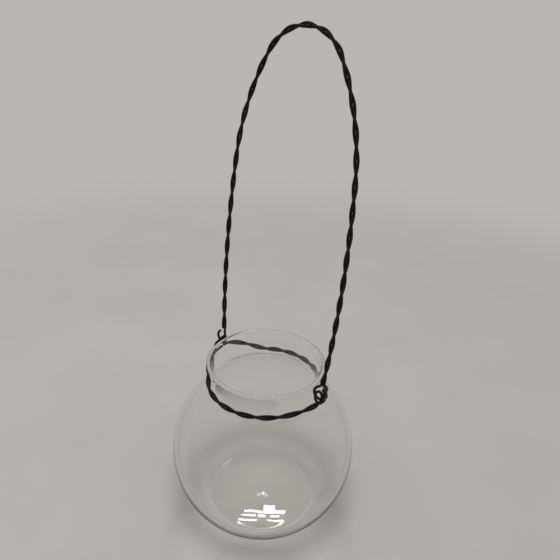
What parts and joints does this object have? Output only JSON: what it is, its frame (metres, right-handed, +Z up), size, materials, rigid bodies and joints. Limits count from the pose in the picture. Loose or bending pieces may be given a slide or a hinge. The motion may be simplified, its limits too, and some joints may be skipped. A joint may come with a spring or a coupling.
{
  "type": "hanging vase",
  "caption": "Clear glass globe vase with a flared neck, a twisted-wire collar round the neck and a tall arched wire handle to hang it by.",
  "frame": {"origin": "middle of the face that the globe stands on, on the globe's axis", "axes": "+Z up along the globe's axis; the collar's two eyes lie on the X axis; the handle leans back towards +Y"},
  "size_m": [0.12, 0.12, 0.3043],
  "materials": {
    "glass": "clear blown glass, polished, with a faint green tint",
    "wire": "black satin wire"
  },
  "bodies": {
    "bowl": {"glass_bowl": "glass"},
    "collar": {"collar_strand_a": "wire", "collar_strand_b": "wire"},
    "handle": {"handle_strand_a": "wire", "handle_strand_b": "wire"}
  },
  "joints": [
    {"name": "collar_turn", "type": "hinge", "parent": "bowl", "child": "collar", "pos_m": [0, 0, 0.0995], "axis": [0, 0, 1], "continuous": true},
    {"name": "handle_swing", "type": "hinge", "parent": "collar", "child": "handle", "pos_m": [0, 0, 0.10994], "axis": [1, 0, 0], "range_deg": [-92.8, 107.2]}
  ]
}
